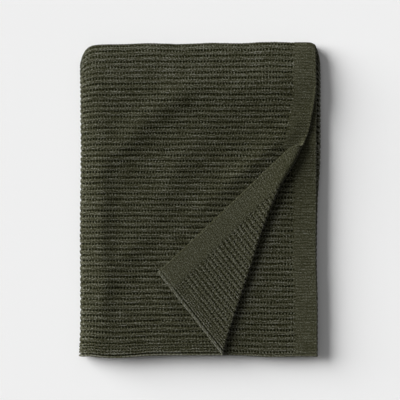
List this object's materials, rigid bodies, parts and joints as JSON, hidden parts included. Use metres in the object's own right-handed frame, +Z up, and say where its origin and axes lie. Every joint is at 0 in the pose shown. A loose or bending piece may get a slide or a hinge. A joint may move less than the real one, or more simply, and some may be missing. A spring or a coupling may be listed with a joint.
{
  "type": "folded throw blanket",
  "caption": "Ribbed chenille throw blanket, folded in half and then in three, lying flat with one top corner turned back.",
  "frame": {"origin": "centre of the folded throw's outline, on the surface it lies on", "axes": "+X along the ribs towards the selvedges, +Y from the hems towards the first fold, +Z up"},
  "size_m": [0.5024, 0.6541, 0.0474],
  "materials": {
    "chenille": "soft chenille rib knit"
  },
  "bodies": {
    "root": {"throw": "chenille"}
  },
  "joints": []
}
